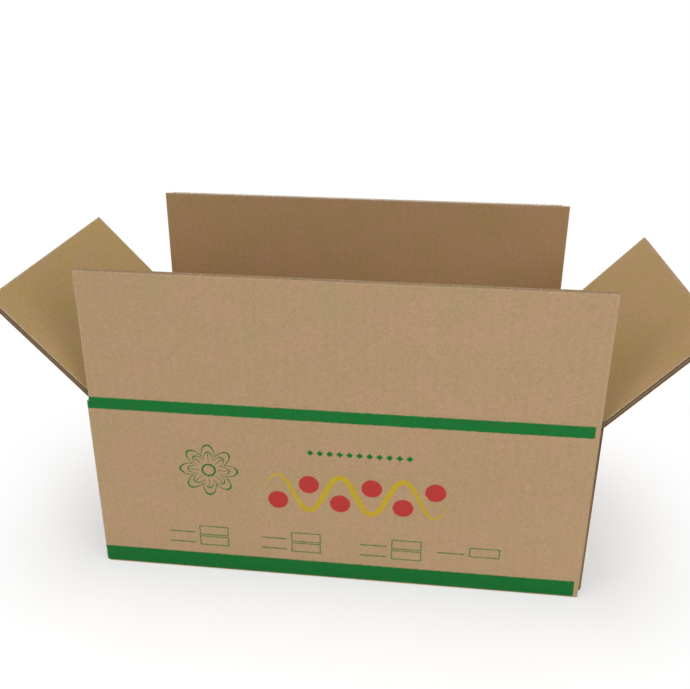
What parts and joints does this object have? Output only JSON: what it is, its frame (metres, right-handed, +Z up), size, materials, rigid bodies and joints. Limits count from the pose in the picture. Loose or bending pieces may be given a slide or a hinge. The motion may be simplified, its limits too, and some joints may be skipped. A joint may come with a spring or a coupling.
{
  "type": "bottle shipping box",
  "caption": "Open-topped corrugated shipping carton with hinged long and short top flaps, a glued lap corner and closed bottom flaps, for packing bottles.",
  "frame": {"origin": "middle of the underside, on the surface that the carton stands on", "axes": "+X along the carton's length to the right of the printed front panel, +Y from the front panel to the back panel, +Z up"},
  "size_m": [0.6266, 0.25, 0.31],
  "materials": {
    "printed_board": "matt kraft liner with flat green printing",
    "kraft_board": "matt unprinted kraft liner"
  },
  "bodies": {
    "carton": {"carton_body": "printed_board"},
    "front_flap_body": {"front_flap": "kraft_board"},
    "back_flap_body": {"back_flap": "kraft_board"},
    "left_flap_body": {"left_flap": "kraft_board"},
    "right_flap_body": {"right_flap": "kraft_board"}
  },
  "joints": [
    {"name": "front_flap_crease", "type": "hinge", "parent": "carton", "child": "front_flap_body", "pos_m": [0, -0.125, 0.188], "axis": [1, 0, 0], "range_deg": [-90, 175]},
    {"name": "back_flap_crease", "type": "hinge", "parent": "carton", "child": "back_flap_body", "pos_m": [0, 0.125, 0.188], "axis": [-1, 0, 0], "range_deg": [-90, 175]},
    {"name": "left_flap_crease", "type": "hinge", "parent": "carton", "child": "left_flap_body", "pos_m": [-0.23, 0, 0.1826], "axis": [0, -1, 0], "range_deg": [-132, 133]},
    {"name": "right_flap_crease", "type": "hinge", "parent": "carton", "child": "right_flap_body", "pos_m": [0.23, 0, 0.1826], "axis": [0, 1, 0], "range_deg": [-132, 133]}
  ]
}
